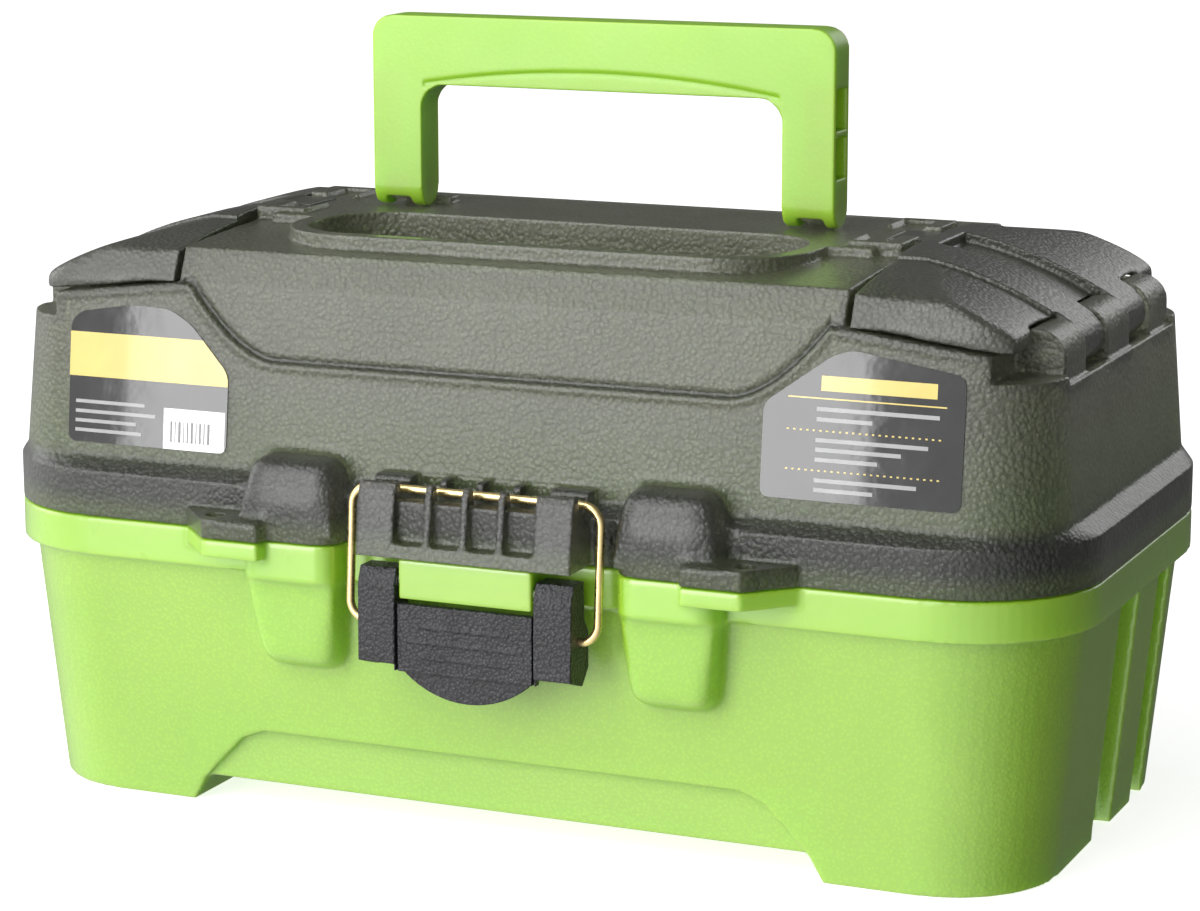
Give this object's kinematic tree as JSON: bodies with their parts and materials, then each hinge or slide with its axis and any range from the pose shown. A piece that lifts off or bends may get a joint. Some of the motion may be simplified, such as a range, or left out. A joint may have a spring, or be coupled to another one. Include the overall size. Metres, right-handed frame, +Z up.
{
  "type": "fishing tackle box",
  "caption": "Moulded box with a hinged dome lid, a lift-out tray on swing arms, two top compartments with doors, a folding carry handle and a wire bail latch.",
  "frame": {"origin": "centre of the closed box in plan, front catch to rear hinges, on the surface the feet stand on", "axes": "+X along the box towards the right-hand end seen from the front, -Y towards the front with the latch, +Z up"},
  "size_m": [0.36, 0.2046, 0.2445],
  "materials": {
    "green_shell": "lime green moulded plastic, glossy band, fine pebble grain below",
    "green_tray": "lime green moulded plastic, smooth",
    "green_handle": "lime green moulded plastic, semi-gloss",
    "smoke_lid": "smoke olive translucent plastic with fine pebble grain",
    "smoke_door": "smoke olive translucent plastic, glossy fine grain",
    "black_latch": "charcoal black, finely grained",
    "brass_wire": "polished wire",
    "steel": "plain",
    "sticker": null
  },
  "bodies": {
    "tub": {"tub": "green_shell", "lid_hinge_pin_left": "steel", "lid_hinge_pin_right": "steel", "arm_rivet_left": "steel", "arm_rivet_right": "steel", "latch_pin": "steel"},
    "lid": {"lid": "smoke_lid", "door_hinge_pin_left": "steel", "door_hinge_pin_right": "steel", "handle_pin_left": "steel", "handle_pin_right": "steel", "label_left": "sticker", "label_right": "sticker"},
    "tray": {"tray": "green_tray", "tray_divider_1": "green_tray", "tray_divider_2": "green_tray", "tray_divider_3": "green_tray", "tray_divider_4": "green_tray", "tray_rivets": "steel"},
    "arm_left": {"tray_arm_left": "steel"},
    "arm_right": {"tray_arm_right": "steel"},
    "door_left": {"door_left": "smoke_door"},
    "door_right": {"door_right": "smoke_door"},
    "handle": {"handle": "green_handle"},
    "latch_lever": {"latch_lever": "black_latch"},
    "latch_bail": {"latch_bail": "brass_wire"}
  },
  "joints": [
    {"name": "lid_hinge", "type": "hinge", "parent": "tub", "child": "lid", "pos_m": [0, 0.0981, 0.0917], "axis": [-1, 0, 0], "range_deg": [0, 105]},
    {"name": "tray_pivot", "type": "hinge", "parent": "lid", "child": "tray", "pos_m": [0, 0.0531, 0.0867], "axis": [-1, 0, 0], "range_deg": [-105, 0]},
    {"name": "arm_left_pivot", "type": "hinge", "parent": "tub", "child": "arm_left", "pos_m": [-0.1567, 0.023, 0.0717], "axis": [-1, 0, 0], "range_deg": [0, 105]},
    {"name": "arm_right_pivot", "type": "hinge", "parent": "tub", "child": "arm_right", "pos_m": [0.1567, 0.023, 0.0717], "axis": [-1, 0, 0], "range_deg": [0, 105]},
    {"name": "door_left_hinge", "type": "hinge", "parent": "lid", "child": "door_left", "pos_m": [-0.161, 0.003, 0.1576], "axis": [0, -1, 0], "range_deg": [0, 110]},
    {"name": "door_right_hinge", "type": "hinge", "parent": "lid", "child": "door_right", "pos_m": [0.161, 0.003, 0.1576], "axis": [0, 1, 0], "range_deg": [0, 110]},
    {"name": "handle_fold", "type": "hinge", "parent": "lid", "child": "handle", "pos_m": [0, 0.0065, 0.189], "axis": [1, 0, 0], "range_deg": [0, 90]},
    {"name": "latch_lever_pivot", "type": "hinge", "parent": "tub", "child": "latch_lever", "pos_m": [0, -0.0965, 0.084], "axis": [-1, 0, 0], "range_deg": [0, 100]},
    {"name": "latch_bail_pivot", "type": "hinge", "parent": "latch_lever", "child": "latch_bail", "pos_m": [0, -0.0948, 0.07], "axis": [1, 0, 0], "range_deg": [0, 71]}
  ],
  "couplings": [
    {"joint": "tray_pivot", "follows": "lid_hinge", "ratio": -1},
    {"joint": "arm_left_pivot", "follows": "lid_hinge", "ratio": 1},
    {"joint": "arm_right_pivot", "follows": "lid_hinge", "ratio": 1},
    {"joint": "latch_bail_pivot", "follows": "latch_lever_pivot", "ratio": 0.7}
  ]
}
